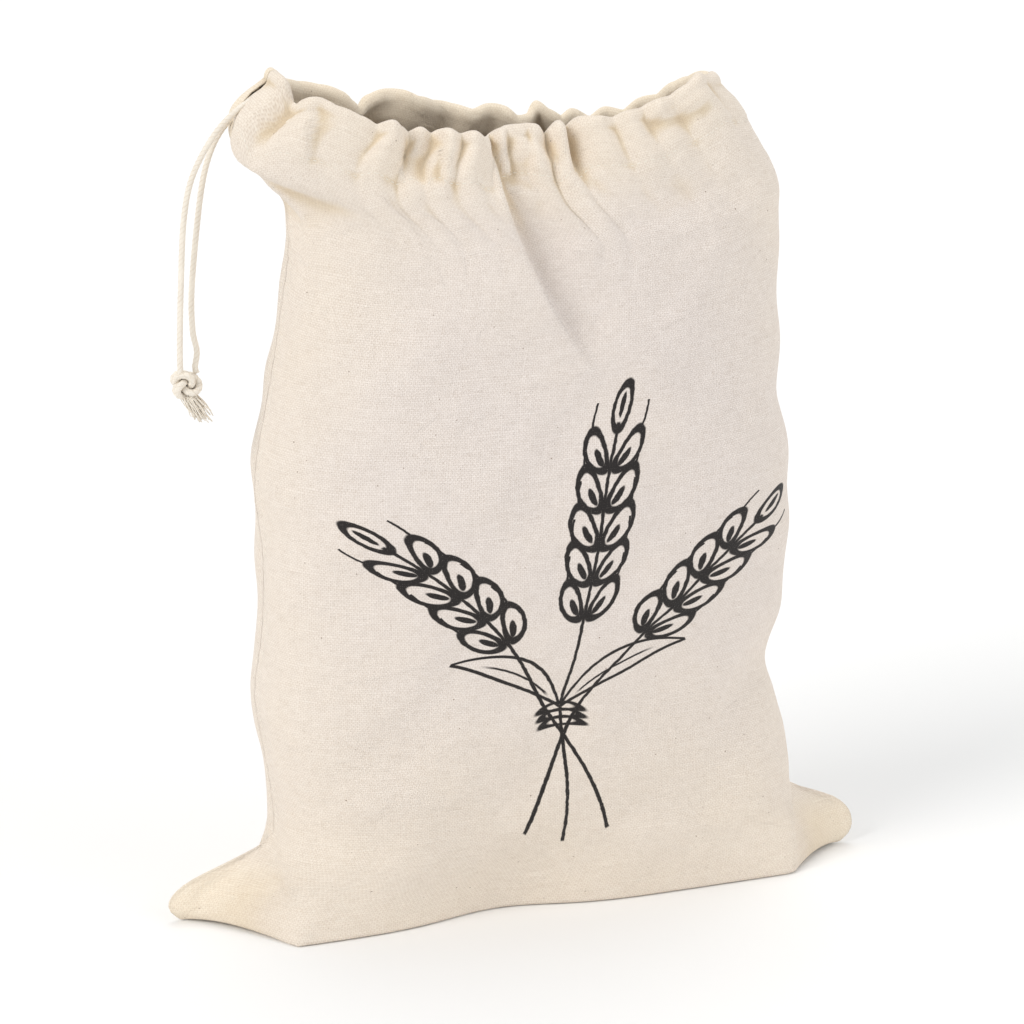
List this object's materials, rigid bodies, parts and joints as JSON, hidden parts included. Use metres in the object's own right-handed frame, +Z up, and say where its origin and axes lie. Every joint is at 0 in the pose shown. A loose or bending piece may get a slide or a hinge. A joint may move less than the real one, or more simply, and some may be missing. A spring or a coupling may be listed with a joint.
{
  "type": "drawstring bread bag",
  "caption": "Plain-woven cloth bread bag standing open, with spread lower corners, a gathered casing at the mouth and a drawcord whose knotted ends hang at one side.",
  "frame": {"origin": "middle of the base, on the surface the bag stands on", "axes": "+Z up to the mouth, +X across the bag from the corded side seam to the plain one, -Y out of the printed front"},
  "size_m": [0.3055, 0.1126, 0.355],
  "materials": {
    "cloth": "matte plain weave, natural cream, with slubs and seed flecks",
    "cord": "matte twisted cotton cord, natural cream"
  },
  "bodies": {
    "root": {"front_panel": "cloth", "back_panel": "cloth", "drawcord": "cord", "cord_tail_outer": "cord", "cord_tail_inner": "cord", "cord_knot": "cord"}
  },
  "joints": []
}
